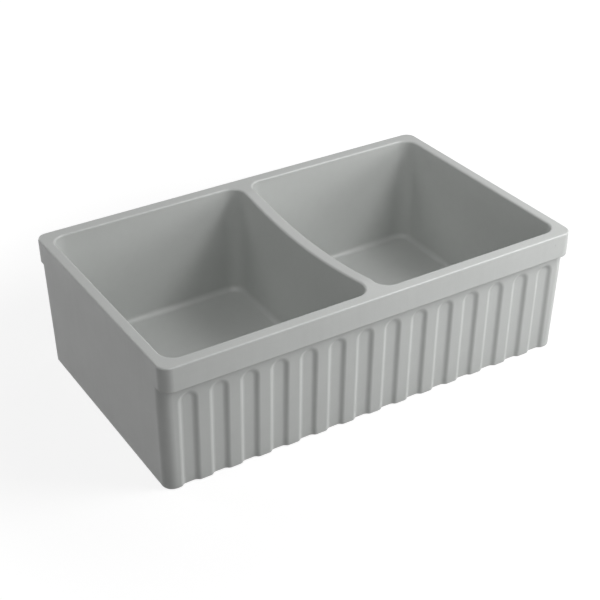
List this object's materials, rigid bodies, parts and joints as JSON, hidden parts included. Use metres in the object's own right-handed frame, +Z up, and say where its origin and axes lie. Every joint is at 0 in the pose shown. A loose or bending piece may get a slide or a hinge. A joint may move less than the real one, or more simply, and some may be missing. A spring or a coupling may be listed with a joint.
{
  "type": "farmhouse apron front sink",
  "caption": "Grey fireclay apron front kitchen sink with side-by-side bowls, a low dipped divider, a fluted apron under a plain lip, and a lift-out basket strainer in each drain.",
  "frame": {"origin": "centre of the casting's flat underside, which rests on the cabinet's support; the drains hang below it", "axes": "+X along the apron to the right as seen from the front, +Y from the apron to the wall, +Z up"},
  "size_m": [0.8378, 0.508, 0.4035],
  "materials": {
    "fireclay": "matte glaze, neutral mid grey",
    "stainless": "satin stainless steel",
    "chromed_tube": "polished chrome plate",
    "chromed_nut": "chrome plated die casting",
    "cast_zinc": "raw die casting",
    "rubber": "matt black rubber",
    "seal": "grey sealing ring",
    "fibre": "brown fibre washer",
    "washer_plastic": "white washer",
    "knob_plastic": "black knob"
  },
  "bodies": {
    "fixed_sink": {"sink_body": "fireclay", "left_strainer_body": "stainless", "left_flange_seal": "seal", "left_under_gasket": "rubber", "left_friction_washer": "fibre", "left_locknut": "cast_zinc", "left_tailpiece": "chromed_tube", "left_tailpiece_washer": "washer_plastic", "left_coupling_nut": "chromed_nut", "right_strainer_body": "stainless", "right_flange_seal": "seal", "right_under_gasket": "rubber", "right_friction_washer": "fibre", "right_locknut": "cast_zinc", "right_tailpiece": "chromed_tube", "right_tailpiece_washer": "washer_plastic", "right_coupling_nut": "chromed_nut"},
    "left_basket_unit": {"left_basket": "stainless"},
    "left_stopper_unit": {"left_stopper_post": "stainless", "left_post_knob": "knob_plastic", "left_stopper": "rubber", "left_stopper_nut": "stainless"},
    "right_basket_unit": {"right_basket": "stainless"},
    "right_stopper_unit": {"right_stopper_post": "stainless", "right_post_knob": "knob_plastic", "right_stopper": "rubber", "right_stopper_nut": "stainless"}
  },
  "joints": [
    {"name": "left_basket_lift", "type": "slide", "parent": "fixed_sink", "child": "left_basket_unit", "axis": [0, 0, 1], "range_m": [0, 0.3]},
    {"name": "left_stopper_lift", "type": "slide", "parent": "left_basket_unit", "child": "left_stopper_unit", "axis": [0, 0, 1], "range_m": [0, 0.009]},
    {"name": "right_basket_lift", "type": "slide", "parent": "fixed_sink", "child": "right_basket_unit", "axis": [0, 0, 1], "range_m": [0, 0.3]},
    {"name": "right_stopper_lift", "type": "slide", "parent": "right_basket_unit", "child": "right_stopper_unit", "axis": [0, 0, 1], "range_m": [0, 0.009]}
  ]
}
